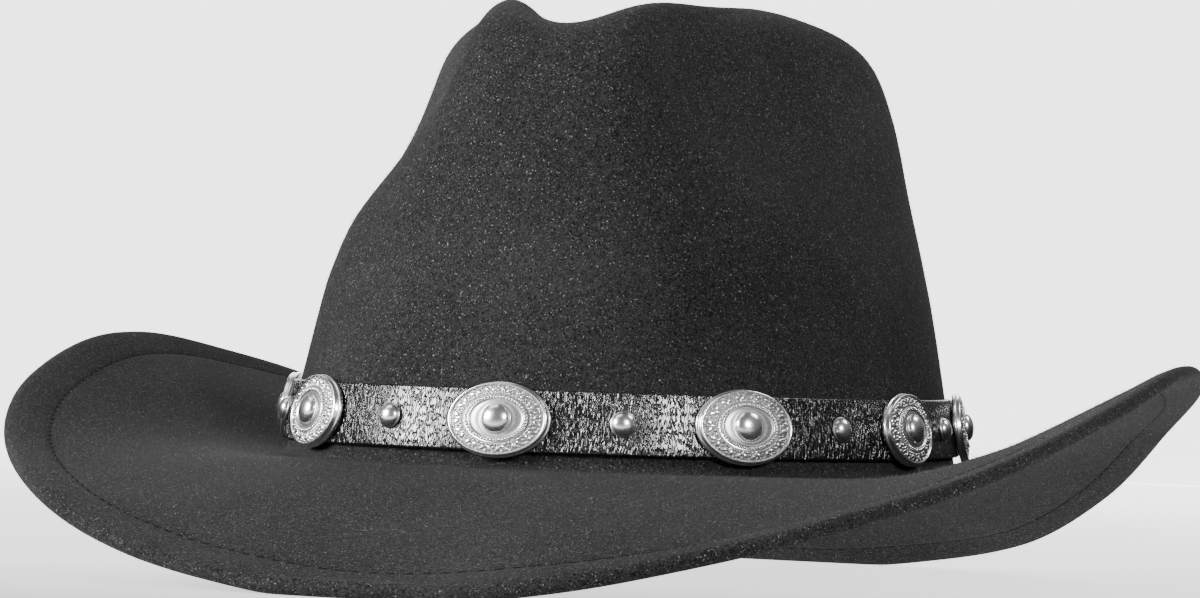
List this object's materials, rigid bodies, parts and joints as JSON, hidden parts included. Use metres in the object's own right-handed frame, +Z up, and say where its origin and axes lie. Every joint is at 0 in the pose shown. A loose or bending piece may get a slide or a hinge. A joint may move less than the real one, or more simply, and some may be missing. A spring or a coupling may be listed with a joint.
{
  "type": "western fedora",
  "caption": "Felt western hat with a creased, pinched crown, a hemmed brim rolled up at its sides, and a leather band carrying oval conchos and round rivets.",
  "frame": {"origin": "The middle of the hat's bounding box, on the level surface that its rim rests on.", "axes": "+X is the wearer's left, -Y is the front of the hat, +Z is up."},
  "size_m": [0.2888, 0.3714, 0.1449],
  "materials": {
    "felt": "charcoal grey wool felt, matt and finely fibrous",
    "leather": "black grained leather, satin",
    "silver": "bright silver-coloured cast metal, polished, with darkened hollows"
  },
  "bodies": {
    "root": {"felt_body": "felt", "hat_band": "leather", "concho_1": "silver", "concho_2": "silver", "concho_3": "silver", "concho_4": "silver", "concho_5": "silver", "concho_6": "silver", "concho_7": "silver", "concho_8": "silver", "concho_9": "silver", "concho_10": "silver", "rivet_1": "silver", "rivet_2": "silver", "rivet_3": "silver", "rivet_4": "silver", "rivet_5": "silver", "rivet_6": "silver", "rivet_7": "silver", "rivet_8": "silver", "rivet_9": "silver", "rivet_10": "silver"}
  },
  "joints": []
}
